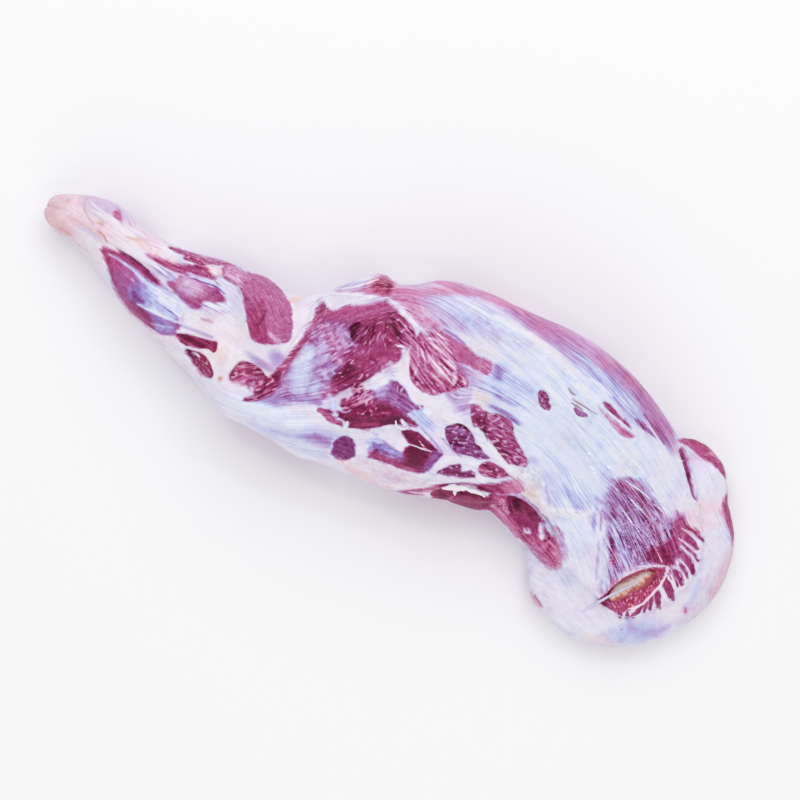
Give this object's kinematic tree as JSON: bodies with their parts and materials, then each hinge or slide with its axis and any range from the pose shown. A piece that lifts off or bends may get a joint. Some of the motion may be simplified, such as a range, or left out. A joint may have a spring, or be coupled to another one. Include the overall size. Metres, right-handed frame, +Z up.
{
  "type": "raw lamb shoulder",
  "caption": "Whole raw lamb shoulder with its shank, lying flat with the inner side up: lean muscle under silver skin, white fat and the bare cartilage edge of the blade.",
  "frame": {"origin": "centre of the bounding box's bottom face, on the surface that the joint of meat lies on", "axes": "+X from the knuckle of the shank to the cartilage edge of the blade, +Y to the thick outer side of the blade, +Z up out of the inner side that shows"},
  "size_m": [0.5002, 0.17, 0.0695],
  "materials": {
    "raw_meat": "wet raw lamb: dark red muscle under pale silver skin and white fat",
    "cartilage": "wet pearly cartilage under thin membrane",
    "knuckle": "moist cream sinew and cartilage over the bone's end",
    "bone": "moist cream bone"
  },
  "bodies": {
    "root": {"meat": "raw_meat", "blade_cartilage": "cartilage", "shank_knuckle": "knuckle", "blade_bone": "bone"}
  },
  "joints": []
}
